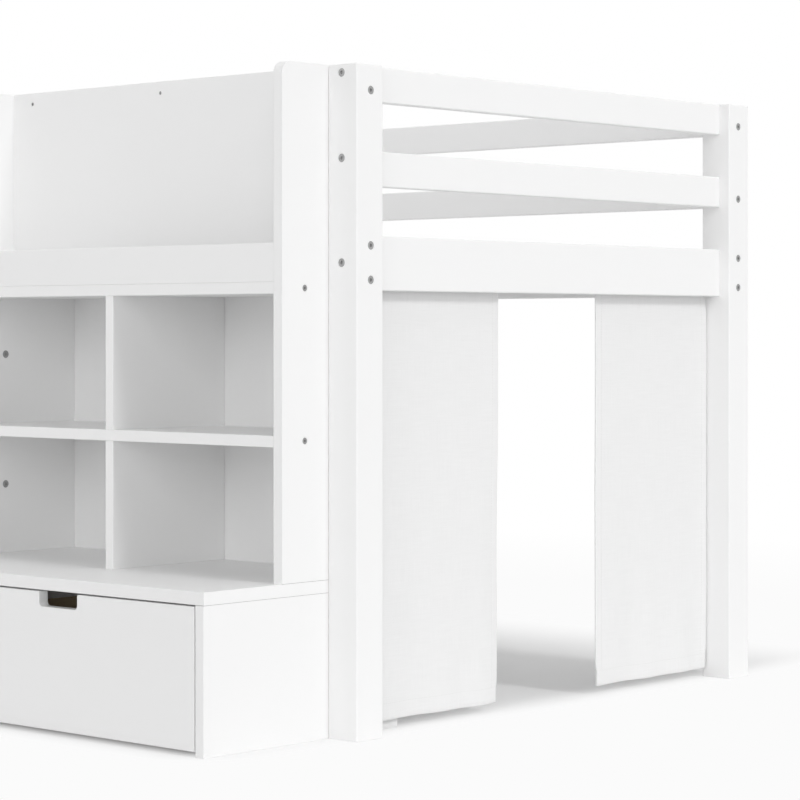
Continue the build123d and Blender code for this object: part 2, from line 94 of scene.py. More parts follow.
class FinishSettings(bpy.types.PropertyGroup):
    """Colours and gloss of the bed's surfaces"""

    paint: colour("Paint", "White satin paint on timber and boards", (0.92, 0.92, 0.92))
    undercoat: colour("Undercoat", "Primer that the paint lets through on eased edges", (0.84, 0.84, 0.83))
    paint_roughness: amount("Paint roughness", "Gloss of the satin paint", 0.42)
    plywood: colour("Plywood", "Bare birch plywood of the drawer boxes", (0.68, 0.56, 0.38))
    plywood_core: colour("Plywood core", "Darker plies between the veneers", (0.46, 0.34, 0.20))
    enamel: colour("Enamel", "White stove enamel on runners and rod", (0.80, 0.80, 0.79))
    nylon: colour("Nylon", "Moulded rollers", (0.74, 0.73, 0.69))
    zinc: colour("Zinc", "Zinc plate on bolts, nuts and screws", (0.44, 0.44, 0.44))
    # Painted shadow: colour of the strips that stand for the shade inside the hairline gaps between boards
    joint: colour("Joint", "Shadow in the hairline joints between boards", (0.30, 0.30, 0.29))
    linen: colour("Linen", "Plain white linen weave", (0.90, 0.90, 0.90))
    thread: colour("Thread", "Sewing thread of the hems", (0.80, 0.80, 0.79))


class CurtainSettings(bpy.types.PropertyGroup):
    """Sizes of the sewn curtains"""

    thickness: length("Cloth", "Thickness of the linen", 0.9 * MM)
    layer: length("Layer", "Distance between the two layers of a turned hem", 2.2 * MM)
    bottom_hem: length("Bottom hem", "Height of the turned-up hem", 28 * MM)
    side_hem: length("Side hem", "Width of the turned-in sides", 16 * MM)
    header: length("Header", "Distance from the rod's middle to the pocket's seam", 13 * MM)
    seam_tail: length("Seam tail", "Cloth left behind the pocket's seam", 8 * MM)
    stitch: length("Stitch", "Length of one stitch", 3.2 * MM)
    stitch_pitch: length("Stitch pitch", "Distance from stitch to stitch", 4.4 * MM)
    thread: length("Thread", "Diameter of the sewing thread", 0.55 * MM)
    seam_margin: length("Seam margin", "Distance of a seam from the raw edge behind it", 2.0 * MM)
    fold_depth: length("Fold depth", "Swing of the cloth at its bottom hem", 2.6 * MM)
    front_lap: length("Front lap", "Reach of the front curtain's free edge into the doorway", 3.5 * MM)
    back_lap: length("Back lap", "Distance of the back curtain's free edge from the doorway", 1.8 * MM)
    outer_lap: length("Outer lap", "Spread of the cloth towards its post below the bracket", 4.5 * MM)
    columns: IntProperty(name="Columns", description="Faces across the cloth", default=72, min=8)
    rows: IntProperty(name="Rows", description="Faces down the cloth", default=120, min=8)


class ScrewSettings(bpy.types.PropertyGroup):
    """Sizes of the small screws and pins, and of the strips of painted shade in the joints between boards"""

    slat_head: length("Slat screw", "Head of the screws in the slats", 7.5 * MM)
    bracket_head: length("Bracket screw", "Head of the screws in the rod's brackets", 5.0 * MM)
    drawer_head: length("Drawer screw", "Head of the screws in the drawer boxes", 6.5 * MM)
    pin_head: length("Panel pin", "Head of the pins in the thin back panel", 3.2 * MM)
    rise: length("Rise", "Height of a screw's head above the wood", 0.4 * MM)
    joint_gap: length("Joint gap", "Height of the hairline gaps between boards", 0.4 * MM)


class StudioSettings(bpy.types.PropertyGroup):
    """Camera, light and floor"""

    eye: vector("Eye", "Place of the camera", (3.749, -3.3504, 0.630))
    heading: angle("Heading", "Turn of the level camera", 41.96)
    lens: FloatProperty(name="Lens", description="Focal length in millimetres", default=118.8, min=1.0)
    shift: FloatProperty(name="Shift", description="Vertical shift of the frame", default=-0.0868)
    sky: brightness("Sky", "Even light from all round", 0.30)
    sky_end: brightness("Sky at the end", "Soft light added from the curtained end", 0.12)
    sky_behind: brightness("Sky behind", "Soft light added from behind the bed", 0.60)
    top_lamp: brightness("Top lamp", "Broad lamp overhead", 0.48)
    front_lamp: brightness("Front lamp", "Broad, low lamp in front of the drawers", 0.20)
    left_lamp: brightness("Left lamp", "Broad, low lamp in front on the left", 0.33)
    right_lamp: brightness("Right lamp", "Broad lamp in front on the right", 0.80)
    end_lamp: brightness("End lamp", "Small lamp that shines in between the curtains", 0.84)
    lamp_spread: angle("Spread", "Width of the broad lamps", 45)
    end_spread: angle("End spread", "Width of the small lamp", 12)
    floor: colour("Floor", "Pale floor, as it lights the bed", (0.86, 0.86, 0.86))
    floor_seen: colour("Floor seen", "Pale floor, as it is seen under the bed", (0.85, 0.85, 0.85))
    floor_size: length("Floor size", "Side of the square floor", 60.0)
    floor_white: amount("Floor white", "Level of the floor near the bed's shadow, where 1 is white", 0.965)
    white_from: length("White from", "Distance from the middle where the floor starts to turn white", 1.9)
    white_at: length("White at", "Distance from the middle where the floor is white", 3.4)
    shadow_low: vector("Shadow low", "Shadow's corner at the desk and the drawers", (-1.0, -0.58, 0.0))
    shadow_high: vector("Shadow high", "Shadow's corner at the curtains and the back", (0.87, 0.62, 0.0))
    fade_low: vector("Fade low", "Shadow's soft edge at the desk and the drawers", (0.30, 0.14, 1.0))
    fade_high: vector("Fade high", "Shadow's soft edge at the curtains and the back", (0.13, 0.50, 1.0))


# Nodes and links of the shaders


def fill(tree, inputs, sockets):
    """Give each named socket a link or a value"""
    for name, value in sockets.items():
        if isinstance(value, bpy.types.NodeSocket):
            tree.links.new(value, inputs[name])
        else:
            inputs[name].default_value = value


def place(tree, kind, sockets=None, **settings):
    """Add a node, set its options and fill its sockets"""
    made = tree.nodes.new(kind)
    for name, value in settings.items():
        setattr(made, name, value)
    fill(tree, made.inputs, sockets or {})
    return made


def math_node(tree, operation, first, second=0.0):
    return place(tree, "ShaderNodeMath", {0: first, 1: second}, operation=operation).outputs[0]


def vector_node(tree, operation, first, second=(0.0, 0.0, 0.0)):
    return place(tree, "ShaderNodeVectorMath", {0: first, 1: second}, operation=operation).outputs


def parts_of(tree, where):
    """The X, Y and Z of a vector"""
    return place(tree, "ShaderNodeSeparateXYZ", {0: where}).outputs


def blend_colours(tree, factor, first, second):
    made = place(tree, "ShaderNodeMix", {0: factor, 6: first, 7: second}, data_type="RGBA")
    return made.outputs[2]


def blend_shaders(tree, factor, first, second):
    return place(tree, "ShaderNodeMixShader", {0: factor, 1: first.outputs[0], 2: second.outputs[0]})


def stretch_range(tree, value, low, high, start=0.0, end=1.0):
    """Stretch the values from start to end so that they run from low to high"""
    sockets = {"Value": value, "From Min": start, "From Max": end, "To Min": low, "To Max": high}
    return place(tree, "ShaderNodeMapRange", sockets).outputs["Result"]


def noise_node(tree, where, scale, detail=2.0, roughness=0.5):
    sockets = {"Vector": where, "Scale": scale, "Detail": detail, "Roughness": roughness}
    return place(tree, "ShaderNodeTexNoise", sockets).outputs["Fac"]


def bump(tree, height, strength, distance, normal=None):
    sockets = {"Height": height, "Strength": strength, "Distance": distance}
    if normal is not None:
        sockets["Normal"] = normal
    return place(tree, "ShaderNodeBump", sockets).outputs[0]


def object_coordinates(tree, scale=(1.0, 1.0, 1.0)):
    here = tree.nodes.new("ShaderNodeTexCoord").outputs["Object"]
    return place(tree, "ShaderNodeMapping", {"Vector": here, "Scale": scale}).outputs[0]


def opaque(rgb):
    return (rgb[0], rgb[1], rgb[2], 1.0)


def darker(rgb, share):
    """An opaque colour with a share of the given one's light"""
    return opaque([share * part for part in rgb])


def cleared_tree(owner):
    """The emptied node tree of a material or a world"""
    owner.use_nodes = True
    owner.node_tree.nodes.clear()
    return owner.node_tree


# Node groups that the finishes share


def new_group(name, inputs, outputs):
    """An empty shader node group with named sockets"""
    tree = bpy.data.node_groups.new(name, "ShaderNodeTree")
    for label, kind in inputs:
        tree.interface.new_socket(name=label, in_out="INPUT", socket_type=kind)
    for label, kind in outputs:
        tree.interface.new_socket(name=label, in_out="OUTPUT", socket_type=kind)
    entry = tree.nodes.new("NodeGroupInput").outputs
    leave = tree.nodes.new("NodeGroupOutput").inputs
    return tree, entry, leave


def group_node(tree, name, maker, sockets):
    """What a node group puts out; its maker builds it the first time"""
    group = bpy.data.node_groups.get(name) or maker()
    return place(tree, "ShaderNodeGroup", sockets, node_tree=group).outputs


def paint_film_group():
    """Sprayed paint: faint clouds of tone, orange peel and uneven gloss"""
    tree, entry, leave = new_group(
        "paint_film",
        (
            ("Vector", "NodeSocketVector"),
            ("Pigment", "NodeSocketColor"),
            ("Undercoat", "NodeSocketColor"),
            ("Gloss", "NodeSocketFloat"),
            ("Peel Scale", "NodeSocketFloat"),
        ),
        (("Color", "NodeSocketColor"), ("Roughness", "NodeSocketFloat"), ("Height", "NodeSocketFloat")),
    )
    clouds = noise_node(tree, entry["Vector"], scale=5.0, detail=3.0)
    thin = stretch_range(tree, clouds, low=0.0, high=0.09)
    patches = noise_node(tree, entry["Vector"], scale=22.0, detail=4.0)
    wander = stretch_range(tree, patches, low=-0.06, high=0.06)
    outputs = {
        "Color": blend_colours(tree, thin, entry["Pigment"], entry["Undercoat"]),
        "Roughness": math_node(tree, "ADD", entry["Gloss"], wander),
        "Height": noise_node(tree, entry["Vector"], scale=entry["Peel Scale"]),
    }
    fill(tree, leave, outputs)
    return tree


def wood_grain_group():
    """Long fibres: bands of early and late wood with fine pores, on coordinates stretched along the board"""
    tree, entry, leave = new_group(
        "wood_grain",
        (
            ("Vector", "NodeSocketVector"),
            ("Band Scale", "NodeSocketFloat"),
            ("Pore Scale", "NodeSocketFloat"),
        ),
        (("Bands", "NodeSocketFloat"), ("Pores", "NodeSocketFloat")),
    )
    ring_count = 46.0
    sway = noise_node(tree, entry["Vector"], scale=entry["Band Scale"], detail=3.0, roughness=0.55)
    rings = math_node(tree, "SINE", math_node(tree, "MULTIPLY", sway, ring_count))
    outputs = {
        "Bands": stretch_range(tree, rings, low=0.0, high=0.5),
        "Pores": noise_node(tree, entry["Vector"], scale=entry["Pore Scale"], detail=3.0, roughness=0.6),
    }
    fill(tree, leave, outputs)
    return tree


def edge_ease_group():
    """Eased edges: a mask that rises on a board's arrises, and the rounded normal"""
    tree, entry, leave = new_group(
        "edge_ease",
        (("Width", "NodeSocketFloat"), ("Vector", "NodeSocketVector")),
        (("Edge", "NodeSocketFloat"), ("Normal", "NodeSocketVector")),
    )
    rounded = place(tree, "ShaderNodeBevel", {"Radius": entry["Width"]}, samples=6).outputs[0]
    flat = tree.nodes.new("ShaderNodeNewGeometry").outputs["Normal"]
    turn = math_node(tree, "SUBTRACT", 1.0, vector_node(tree, "DOT_PRODUCT", rounded, flat)["Value"])
    patches = noise_node(tree, entry["Vector"], scale=160.0, detail=4.0, roughness=0.65)
    broken = stretch_range(tree, patches, low=-1.2, high=3.4)
    mask = place(tree, "ShaderNodeMath", {0: turn, 1: broken}, operation="MULTIPLY", use_clamp=True)
    fill(tree, leave, {"Edge": mask.outputs[0], "Normal": rounded})
    return tree


def woven_group():
    """Plain weave on a UV map in metres: warp over weft, with slubs that run along single threads"""
    tree, entry, leave = new_group(
        "woven_threads",
        (("Vector", "NodeSocketVector"), ("Threads", "NodeSocketFloat")),
        (("Weave", "NodeSocketFloat"), ("Slubs", "NodeSocketFloat")),
    )
    slub_stretch = 0.035
    cloth = parts_of(tree, entry["Vector"])
    waves = []
    slubs = []
    for axis, other, seed in ((0, 1, 0.0), (1, 0, 37.0)):
        across = math_node(tree, "MULTIPLY", cloth[axis], entry["Threads"])
        along = math_node(tree, "MULTIPLY", cloth[other], entry["Threads"])
        thread = math_node(tree, "SINE", math_node(tree, "MULTIPLY", across, 2.0 * math.pi))
        lift = math_node(tree, "SINE", math_node(tree, "MULTIPLY", along, math.pi))
        waves.append(math_node(tree, "MULTIPLY", thread, lift))
        drawn_out = math_node(tree, "MULTIPLY", along, slub_stretch)
        drawn = place(tree, "ShaderNodeCombineXYZ", {0: across, 1: drawn_out}).outputs[0]
        shifted = vector_node(tree, "ADD", drawn, (seed, seed, seed))[0]
        slubs.append(noise_node(tree, shifted, scale=0.35, roughness=0.6))
    both_waves = math_node(tree, "ADD", waves[0], waves[1])
    both_slubs = math_node(tree, "ADD", slubs[0], slubs[1])
    outputs = {
        "Weave": stretch_range(tree, both_waves, low=0.5, high=1.0),
        "Slubs": math_node(tree, "MULTIPLY", both_slubs, 0.5),
    }
    fill(tree, leave, outputs)
    return tree


# Finishes


def new_material(name):
    """A material with an empty Principled surface"""
    made = bpy.data.materials.new(name)
    tree = cleared_tree(made)
    surface = tree.nodes.new("ShaderNodeBsdfPrincipled")
    place(tree, "ShaderNodeOutputMaterial", {"Surface": surface.outputs[0]})
    return made, tree, surface.inputs


def paint_film(tree, settings, pigment, gloss, peel_scale):
    """A paint film on plain object coordinates"""
    sockets = {
        "Vector": object_coordinates(tree),
        "Pigment": opaque(pigment),
        "Undercoat": opaque(settings.undercoat),
        "Gloss": gloss,
        "Peel Scale": peel_scale,
    }
    return group_node(tree, "paint_film", paint_film_group, sockets)


def wood_grain(tree, axis, across, along, bands, pores):
    """Wood grain that is drawn out along one axis"""
    stretch = [across, across, across]
    stretch[axis] = along
    sockets = {"Vector": object_coordinates(tree, stretch), "Band Scale": bands, "Pore Scale": pores}
    return group_node(tree, "wood_grain", wood_grain_group, sockets)


def painted_material(name, settings, grain_axis=None, edge_width=0.9 * MM):
    """White satin paint; on solid timber the grain shows through it along the given axis"""
    made, tree, surface = new_material(name)
    undercoat = opaque(settings.undercoat)
    board_peel, timber_peel = 900.0, 600.0
    peel_scale = board_peel if grain_axis is None else timber_peel
    film = paint_film(tree, settings, settings.paint, settings.paint_roughness, peel_scale)
    edge_sockets = {"Width": edge_width, "Vector": object_coordinates(tree)}
    ease = group_node(tree, "edge_ease", edge_ease_group, edge_sockets)
    rubbed = math_node(tree, "MULTIPLY", ease["Edge"], 0.45)
    tone = blend_colours(tree, rubbed, film["Color"], undercoat)
    normal = bump(tree, film["Height"], strength=0.10, distance=0.05 * MM, normal=ease["Normal"])
    if grain_axis is not None:
        grain = wood_grain(tree, grain_axis, across=26.0, along=1.1, bands=0.55, pores=14.0)
        relief = math_node(tree, "ADD", grain["Bands"], grain["Pores"])
        normal = bump(tree, relief, strength=0.16, distance=0.12 * MM, normal=normal)
        veil = stretch_range(tree, grain["Bands"], low=0.0, high=0.02)
        tone = blend_colours(tree, veil, tone, undercoat)
    fill(tree, surface, {"Base Color": tone, "Roughness": film["Roughness"], "Normal": normal})
    surface["Specular IOR Level"].default_value = 0.35
    return made


def plywood_material(name, settings, thick_axis, ply=1.7 * MM):
    """Bare plywood: grained veneer on the faces and stacked plies on the edges"""
    made, tree, surface = new_material(name)
    core = opaque(settings.plywood_core)
    grain_axis = 0 if thick_axis == 1 else 1
    grain = wood_grain(tree, grain_axis, across=30.0, along=1.6, bands=0.42, pores=11.0)
    bands = math_node(tree, "MULTIPLY", grain["Bands"], 0.35)
    veneer = blend_colours(tree, bands, opaque(settings.plywood), core)
    flecks = stretch_range(tree, grain["Pores"], low=-0.15, high=0.3)
    flecked = blend_colours(tree, flecks, veneer, core)
    depth = parts_of(tree, object_coordinates(tree))[thick_axis]
    stack = math_node(tree, "SINE", math_node(tree, "MULTIPLY", depth, math.pi / ply))
    plies = math_node(tree, "MULTIPLY", stretch_range(tree, stack, low=0.0, high=0.55), 0.6)
    relief = math_node(tree, "ADD", grain["Bands"], grain["Pores"])
    sockets = {
        "Base Color": blend_colours(tree, plies, flecked, core),
        "Roughness": stretch_range(tree, grain["Pores"], low=0.52, high=0.78),
        "Normal": bump(tree, relief, strength=0.3, distance=0.15 * MM),
    }
    fill(tree, surface, sockets)
    return made


def enamel_material(settings):
    """Stove enamel on pressed steel"""
    made, tree, surface = new_material("stove_enamel")
    film = paint_film(tree, settings, settings.enamel, gloss=0.3, peel_scale=420.0)
    normal = bump(tree, film["Height"], strength=0.2, distance=0.08 * MM)
    fill(tree, surface, {"Base Color": film["Color"], "Roughness": film["Roughness"], "Normal": normal})
    return made


def nylon_material(settings):
    """Moulded nylon with a faint waxy mottle"""
    made, tree, surface = new_material("moulded_nylon")
    spots = noise_node(tree, object_coordinates(tree), scale=240.0, detail=4.0)
    mottle = stretch_range(tree, spots, low=0.0, high=0.3)
    sockets = {
        "Base Color": blend_colours(tree, mottle, opaque(settings.nylon), opaque(settings.undercoat)),
        "Roughness": stretch_range(tree, spots, low=0.35, high=0.5),
        "Normal": bump(tree, spots, strength=0.08, distance=0.1 * MM),
    }
    fill(tree, surface, sockets)
    return made


def zinc_material(settings):
    """Zinc plate: bright and a little uneven"""
    made, tree, surface = new_material("zinc_plate")
    spangle = noise_node(tree, object_coordinates(tree), scale=700.0, detail=4.0, roughness=0.6)
    dull = stretch_range(tree, spangle, low=0.0, high=0.7)
    sockets = {
        "Base Color": blend_colours(tree, dull, opaque(settings.zinc), darker(settings.zinc, 0.72)),
        "Roughness": stretch_range(tree, spangle, low=0.28, high=0.46),
        "Normal": bump(tree, spangle, strength=0.12, distance=0.06 * MM),
        "Metallic": 1.0,
    }
    fill(tree, surface, sockets)
    return made


def linen_material(settings, threads=1500.0):
    """White linen on the cloth's own UV map, which is in metres; its slubs are darker at random, and the
    hollows of the weave are darker as painted shade
    """
    made, tree, surface = new_material("white_linen")
    flat = tree.nodes.new("ShaderNodeUVMap").outputs["UV"]
    cloth = group_node(tree, "woven_threads", woven_group, {"Vector": flat, "Threads": threads})
    slub_tone_and_weave_shade = darker(settings.linen, 0.90)
    uneven = stretch_range(tree, cloth["Slubs"], low=0.0, high=0.6, start=0.3, end=0.7)
    slubbed = blend_colours(tree, uneven, opaque(settings.linen), slub_tone_and_weave_shade)
    # painted shade: darker colour in the hollows of the weave, between the threads
    hollows = stretch_range(tree, cloth["Weave"], low=0.5, high=0.0)
    relief = math_node(tree, "ADD", cloth["Weave"], cloth["Slubs"])
    sockets = {
        "Base Color": blend_colours(tree, hollows, slubbed, slub_tone_and_weave_shade),
        "Roughness": stretch_range(tree, cloth["Slubs"], low=0.8, high=0.95),
        "Normal": bump(tree, relief, strength=0.35, distance=0.25 * MM),
        "Sheen Weight": 0.15,
        "Specular IOR Level": 0.2,
    }
    fill(tree, surface, sockets)
    return made


def joint_shade_material(settings):
    """Painted shadow of a hairline gap between boards, mottled darker at random"""
    made, tree, surface = new_material("joint_shadow")
    # random darker mottle across the painted shadow
    shadow_mottle = noise_node(tree, object_coordinates(tree), scale=90.0, detail=3.0)
    tone = blend_colours(tree, shadow_mottle, opaque(settings.joint), darker(settings.joint, 0.6))
    fill(tree, surface, {"Base Color": tone, "Roughness": stretch_range(tree, shadow_mottle, low=0.8, high=1.0)})
    return made


def thread_material(settings):
    """Twisted sewing thread"""
    made, tree, surface = new_material("sewing_thread")
    twist = noise_node(tree, object_coordinates(tree), scale=2600.0)
    tone = blend_colours(tree, twist, opaque(settings.thread), darker(settings.thread, 0.86))
    fill(tree, surface, {"Base Color": tone, "Roughness": stretch_range(tree, twist, low=0.6, high=0.8)})
    return made


# Paint and plate on the nodes of the frame


def coat(node, material):
    """Give a node of the frame a single material"""
    mesh = NODES[node].data
    mesh.materials.clear()
    mesh.materials.append(material)


def nodes_in(slot):
    return [name for name, found in SLOT_OF.items() if found == slot]


def longest_axis(node):
    low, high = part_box(node)
    extent = high - low
    return max(range(3), key=lambda axis: extent[axis])


class BED_OT_paint_timber(bpy.types.Operator):
    """Paint the posts, rails, uprights, ledgers and slats, with the grain along each one"""

    bl_idname = "bed.paint_timber"
    bl_label = "Paint timber"

    def execute(self, context):
        settings = context.scene.bed_finish
        materials = [painted_material(f"painted_pine_{axis}", settings, n) for n, axis in enumerate("xyz")]
        for node in nodes_in("painted_timber"):
            axis = 1 if node == "bed_slats" else longest_axis(node)
            coat(node, materials[axis])
        return {"FINISHED"}


class BED_OT_paint_boards(bpy.types.Operator):
    """Paint the boards of the base, cubbies, step, desk and drawer fronts"""

    bl_idname = "bed.paint_boards"
    bl_label = "Paint boards"

    def execute(self, context):
        material = painted_material("painted_board", context.scene.bed_finish)
        for node in nodes_in("painted_board"):
            coat(node, material)
        return {"FINISHED"}


class BED_OT_finish_drawers(bpy.types.Operator):
    """Leave the drawer boxes as bare plywood, with the plies showing on their edges"""

    bl_idname = "bed.finish_drawers"
    bl_label = "Finish drawer boxes"

    def execute(self, context):
        settings = context.scene.bed_finish
        thick_axes = {"sides": 0, "back": 1, "bottom": 2}
        materials = {
            kind: plywood_material(f"plywood_{kind}", settings, axis) for kind, axis in thick_axes.items()
        }
        for node in nodes_in("drawer_ply"):
            coat(node, materials[node.rsplit("_", 1)[1]])
        return {"FINISHED"}


class BED_OT_finish_metal(bpy.types.Operator):
    """Enamel the runners, rod and brackets, and give the rollers, bolts and nuts their finish"""

    bl_idname = "bed.finish_metal"
    bl_label = "Finish runners, rod and bolts"

    def execute(self, context):
        settings = context.scene.bed_finish
        enamel = enamel_material(settings)
        for node in nodes_in("runner_steel") + nodes_in("rod_steel"):
            coat(node, enamel)
        nylon = nylon_material(settings)
        for node in nodes_in("roller_nylon"):
            coat(node, nylon)
        zinc = zinc_material(settings)
        for node in nodes_in("bolt_steel"):
            coat(node, zinc)
        return {"FINISHED"}


# Pieces that only the scene has


def new_piece(mesh, name, material=None, smooth=False):
    """Turn a bmesh into an object of the scene"""
    data = bpy.data.meshes.new(name)
    mesh.to_mesh(data)
    mesh.free()
    if material is not None:
        data.materials.append(material)
    if smooth:
        data.shade_smooth()
    made = bpy.data.objects.new(name, data)
    bpy.context.scene.collection.objects.link(made)
    return made


def seated(spot, facing):
    """Matrix that turns +Z to a direction and moves the origin to a spot"""
    return Matrix.Translation(spot) @ Vector(facing).to_track_quat("Z", "Y").to_matrix().to_4x4()


def set_down(shape, seats):
    """One bmesh with a copy of a small shape at each seat"""
    small = bpy.data.meshes.new("small_shape")
    shape.to_mesh(small)
    shape.free()
    mesh = bmesh.new()
    for seat in seats:
        copy = small.copy()
        copy.transform(seat)
        mesh.from_mesh(copy)
        bpy.data.meshes.remove(copy)
    bpy.data.meshes.remove(small)
    return mesh


# Screws and pins

# Rings of a screw's head, from its rim to its driving socket: width as a share of the head's diameter,
# and lift as a share of its rise
HEAD_RINGS = ((0.06, 0.5), (0.24, 0.0), (0.02, -1.2))


def screw_head(diameter, rise):
    """A low head with an eased rim and a round driving socket, sunk a little below the plane z = 0"""
    mesh = bmesh.new()
    sunk = Matrix.Translation((0, 0, -rise))
    bmesh.ops.create_circle(mesh, cap_ends=True, segments=14, radius=diameter / 2, matrix=sunk)
    made = bmesh.ops.extrude_face_region(mesh, geom=mesh.faces[:])["geom"]
    head = [part for part in made if isinstance(part, bmesh.types.BMFace)]
    wall = 1.5 * rise
    bmesh.ops.translate(mesh, verts=head[0].verts, vec=(0, 0, wall))
    for width, lift in HEAD_RINGS:
        bmesh.ops.inset_region(mesh, faces=head, thickness=width * diameter)
        bmesh.ops.translate(mesh, verts=head[0].verts, vec=(0, 0, lift * rise))
    bmesh.ops.recalc_face_normals(mesh, faces=mesh.faces)
    return mesh


def drive_screws(name, body, places, diameter, rise, material):
    """A set of like screws, as one piece that rides on a body"""
    heads = set_down(screw_head(diameter, rise), [seated(spot, facing) for spot, facing in places])
    piece = new_piece(heads, name, material)
    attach(piece, body)


def evenly_spaced(first, last, count):
    return [first + (last - first) * n / (count - 1) for n in range(count)]


def slat_screw_places():
    """One screw through each end of a slat into the ledger below it"""
    low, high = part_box("bed_slats")
    ledge_low, ledge_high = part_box("slat_ledgers")
    half_ledge = 9 * MM
    half_slat = 32.5 * MM
    rows = (ledge_low.y + half_ledge, ledge_high.y - half_ledge)
    slats = evenly_spaced(low.x + half_slat, high.x - half_slat, count=14)
    return [((x, y, high.z), (0, 0, 1)) for x in slats for y in rows]


def bracket_screw_places():
    """Two screws in the plate of each rod bracket, one above and one below the rod"""
    low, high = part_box("rod_brackets")
    middle = (low + high) / 2
    plate = 2 * MM
    reach = 12.3 * MM
    walls = ((low.y + plate, 1), (high.y - plate, -1))
    return [((middle.x, y, middle.z + up), (0, side, 0)) for y, side in walls for up in (-reach, reach)]


def panel_pin_places():
    """Pins round the edge of the thin back panel and down its middle"""
    low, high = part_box("cubby_back")
    inset = 9 * MM
    columns = evenly_spaced(low.x + inset, high.x - inset, count=9)
    rows = evenly_spaced(low.z + inset, high.z - inset, count=6)
    upright = (columns[0], columns[len(columns) // 2], columns[-1])
    pins = [(x, z) for x in columns for z in (rows[0], rows[-1])]
    pins += [(x, z) for x in upright for z in rows[1:-1]]
    return [((x, high.y, z), (0, 1, 0)) for x, z in pins]


def drawer_screw_places(side):
    """Two screws through each side of a drawer box into the ends of its back"""
    low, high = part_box(f"drawer_{side}_sides")
    back_low, back_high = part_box(f"drawer_{side}_back")
    above_runner, below_top = 62 * MM, 20 * MM
    y = (back_low.y + back_high.y) / 2
    heights = (back_low.z + above_runner, back_high.z - below_top)
    return [((x, y, z), (out, 0, 0)) for x, out in ((low.x, -1), (high.x, 1)) for z in heights]


class BED_OT_drive_screws(bpy.types.Operator):
    """Add the small screws and pins of the slats, brackets, back panel and drawer boxes"""

    bl_idname = "bed.drive_screws"
    bl_label = "Drive screws"

    def execute(self, context):
        sizes = context.scene.bed_screws
        zinc = bpy.data.materials["zinc_plate"]
        sets = [
            ("slat_screws", "frame", slat_screw_places(), sizes.slat_head),
            ("bracket_screws", "frame", bracket_screw_places(), sizes.bracket_head),
            ("panel_pins", "frame", panel_pin_places(), sizes.pin_head),
        ]
        for side in ("right", "left"):
            body = f"drawer_{side}"
            sets.append((f"{body}_screws", body, drawer_screw_places(side), sizes.drawer_head))
        for name, body, places, head in sets:
            drive_screws(name, body, places, head, sizes.rise, zinc)
        return {"FINISHED"}


# Painted shade in the hairline joints between boards


def joint_runs():
    """Start, end and facing of the hairline joints where one board stands on another"""
    top_low, top_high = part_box("base_top")
    end_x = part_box("base_side_right")[1].x
    post_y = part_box("post_front_right")[0].y
    cubby_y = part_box("cubby_side_right")[0].y
    desk_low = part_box("desk_top")[0]
    desk_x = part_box("desk_sides")[0].x
    runs = [
        ((end_x, top_low.y, top_low.z), (end_x, post_y, top_low.z), (1, 0, 0)),
        ((end_x, cubby_y, top_high.z), (end_x, post_y, top_high.z), (1, 0, 0)),
    ]
    for board in ("base_side_right", "base_partition"):
        low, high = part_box(board)
        runs.append(((low.x, low.y, top_low.z), (high.x, low.y, top_low.z), (0, -1, 0)))
    runs.append(((desk_x, desk_low.y, desk_low.z), (desk_x, post_y, desk_low.z), (-1, 0, 0)))
    return runs


def joint_lines(gap):
    """Thin strips of painted shade along the joints, where the hairline gaps are, as one bmesh"""
    mesh = bmesh.new()
    for start, end, facing in joint_runs():
        start, end, facing = Vector(start), Vector(end), Vector(facing)
        run = end - start
        along = run.normalized()
        across = facing.cross(along)
        turned = Matrix((along, across, facing)).transposed().to_4x4()
        size = Matrix.Diagonal((run.length, gap, gap / 2, 1.0))
        seat = Matrix.Translation((start + end) / 2) @ turned @ size
        bmesh.ops.create_cube(mesh, size=1.0, matrix=seat)
    return mesh


class BED_OT_draw_joints(bpy.types.Operator):
    """Lay strips of painted shade into the hairline gaps where boards stand on each other"""

    bl_idname = "bed.draw_joints"
    bl_label = "Draw joints"

    def execute(self, context):
        shadow = joint_shade_material(context.scene.bed_finish)
        piece = new_piece(joint_lines(context.scene.bed_screws.joint_gap), "joint_lines", shadow)
        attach(piece, "frame")
        return {"FINISHED"}


# Curtains

# Folds across a curtain: how many there are, their shift from one curtain to the next and their share
FOLDS = ((1.6, 0.13, 0.55), (3.3, 0.37, 0.45))
# How slowly the folds open on the way down
FOLD_EASE = 1.5
# Ripples of the cloth, rise of its bottom and wander of its free edge, as shares of the fold depth
RIPPLE_SHARE = 0.5
LIFT_SHARE = 0.8
PULL_SHARE = 1.8
# Pace of the noise behind these three: from curtain to curtain, across the cloth and down it
RIPPLE_PACE = (9.7, 16.0, 7.0)
LIFT_PACE = (3.1, 11.0, 4.0)
PULL_PACE = (5.3, 1.3, 6.0)
# Share of the ripples that the cloth already has at the pocket
TOP_RIPPLE = 0.25
# Shares of the drop between which the cloth spreads out below the rod's bracket
SPREAD_FROM = 0.04
SPREAD_TO = 0.12
# Faces round the rod's pocket, round a fold, up the bottom hem and across a side hem
POCKET_STEPS = 20
FOLD_STEPS = 3
BOTTOM_STEPS = 5
SIDE_STEPS = 4


def smooth_step(low, high, value):
    """0 below the low value, 1 above the high one and an eased rise between them"""
    share = max(0.0, min(1.0, (value - low) / (high - low)))
    return share * share * (3.0 - 2.0 * share)


class CurtainCut:
    """Where a curtain's cloth lies while it hangs flat"""

    def __init__(self, name, sizes):
        rod_low, rod_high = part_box("curtain_rod")
        self.low, self.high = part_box(name)
        self.rod = (rod_low + rod_high) / 2
        self.rod_radius = (rod_high.z - rod_low.z) / 2
        fold = sizes.layer / 2
        self.y_low, self.y_high = self.low.y + fold, self.high.y - fold
        if name == "curtain_front":
            self.outwards = -1.0
            self.y_high += sizes.front_lap
        else:
            self.outwards = 1.0
            self.y_low += sizes.back_lap
        self.front = self.rod.x + sizes.thickness
        self.seam = self.rod.z - sizes.header
        self.bottom = self.low.z


